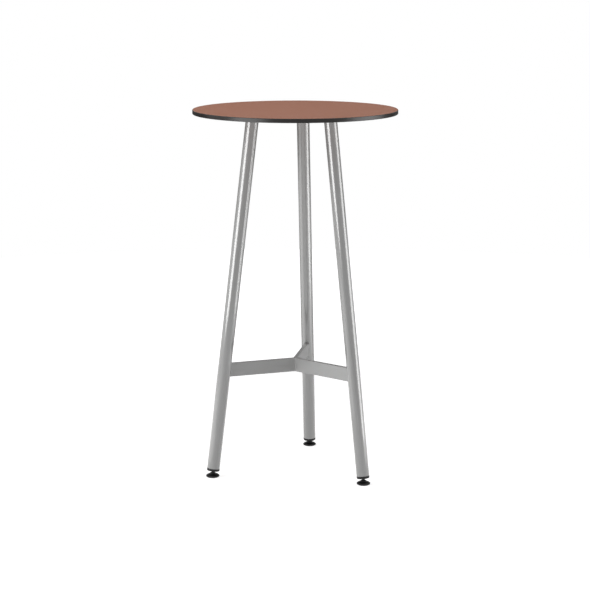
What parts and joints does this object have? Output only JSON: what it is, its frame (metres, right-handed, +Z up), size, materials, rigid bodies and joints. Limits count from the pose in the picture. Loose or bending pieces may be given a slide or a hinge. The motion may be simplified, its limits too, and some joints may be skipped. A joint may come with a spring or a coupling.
{
  "type": "standing meeting table",
  "caption": "Round bar-height meeting table: laminate top on splayed tubular legs tied by a flat-bar star stretcher, with swivelling levelling feet.",
  "frame": {"origin": "on the floor, on the vertical axis through the middle of the top", "axes": "+Z up; the back leg stands along +Y; the left and right legs stand at -150 and -30 degrees about Z"},
  "size_m": [0.6, 0.5999, 1.086],
  "materials": {
    "compact_laminate": "matte red-brown compact laminate with a black core edge",
    "leg_finish": "smooth semi-gloss silver-grey metallic lacquer on steel",
    "zinc_steel": "bright zinc plating",
    "brass": "turned brass",
    "black_plastic": "fine-grained black moulded plastic",
    "glide_plastic": "satin black moulded plastic"
  },
  "bodies": {
    "frame": {"tabletop": "compact_laminate", "threaded_inserts": "brass", "top_screws": "zinc_steel", "hub_welds": "leg_finish", "leg_plate_left": "leg_finish", "leg_tube_left": "leg_finish", "stretcher_bar_left": "leg_finish", "bar_welds_left": "leg_finish", "plate_weld_left": "leg_finish", "end_cap_left": "black_plastic", "threaded_bush_left": "zinc_steel", "leg_plate_right": "leg_finish", "leg_tube_right": "leg_finish", "stretcher_bar_right": "leg_finish", "bar_welds_right": "leg_finish", "plate_weld_right": "leg_finish", "end_cap_right": "black_plastic", "threaded_bush_right": "zinc_steel", "leg_plate_back": "leg_finish", "leg_tube_back": "leg_finish", "stretcher_bar_back": "leg_finish", "bar_welds_back": "leg_finish", "plate_weld_back": "leg_finish", "end_cap_back": "black_plastic", "threaded_bush_back": "zinc_steel"},
    "rod_left": {"levelling_rod_left": "zinc_steel"},
    "head_left": {"ball_head_left": "black_plastic"},
    "glide_left": {"glide_base_left": "glide_plastic"},
    "rod_right": {"levelling_rod_right": "zinc_steel"},
    "head_right": {"ball_head_right": "black_plastic"},
    "glide_right": {"glide_base_right": "glide_plastic"},
    "rod_back": {"levelling_rod_back": "zinc_steel"},
    "head_back": {"ball_head_back": "black_plastic"},
    "glide_back": {"glide_base_back": "glide_plastic"}
  },
  "joints": [
    {"name": "turn_left", "type": "hinge", "parent": "rod_left", "child": "head_left", "pos_m": [-0.22647, -0.13075, 0.008], "axis": [-0.1055, -0.0609, -0.9925], "range_deg": [-576.1, 4320.1]},
    {"name": "level_left", "type": "slide", "parent": "frame", "child": "rod_left", "axis": [-0.1055, -0.0609, -0.9925], "range_m": [-0.002, 0.015]},
    {"name": "tilt_left", "type": "hinge", "parent": "rod_left", "child": "glide_left", "pos_m": [-0.22647, -0.13075, 0.008], "axis": [0.5, -0.866, 0], "range_deg": [-22, 8]},
    {"name": "turn_right", "type": "hinge", "parent": "rod_right", "child": "head_right", "pos_m": [0.22647, -0.13075, 0.008], "axis": [0.1055, -0.0609, -0.9925], "range_deg": [-576.1, 4320.1]},
    {"name": "level_right", "type": "slide", "parent": "frame", "child": "rod_right", "axis": [0.1055, -0.0609, -0.9925], "range_m": [-0.002, 0.015]},
    {"name": "tilt_right", "type": "hinge", "parent": "rod_right", "child": "glide_right", "pos_m": [0.22647, -0.13075, 0.008], "axis": [0.5, 0.866, 0], "range_deg": [-22, 8]},
    {"name": "turn_back", "type": "hinge", "parent": "rod_back", "child": "head_back", "pos_m": [0, 0.2615, 0.008], "axis": [0, 0.1219, -0.9925], "range_deg": [-576.1, 4320.1]},
    {"name": "level_back", "type": "slide", "parent": "frame", "child": "rod_back", "axis": [0, 0.1219, -0.9925], "range_m": [-0.002, 0.015]},
    {"name": "tilt_back", "type": "hinge", "parent": "rod_back", "child": "glide_back", "pos_m": [0, 0.2615, 0.008], "axis": [-1, 0, 0], "range_deg": [-22, 8]}
  ],
  "couplings": [
    {"joint": "turn_left", "follows": "level_left", "rad_per_m": 5026.5},
    {"joint": "turn_right", "follows": "level_right", "rad_per_m": 5026.5},
    {"joint": "turn_back", "follows": "level_back", "rad_per_m": 5026.5}
  ]
}
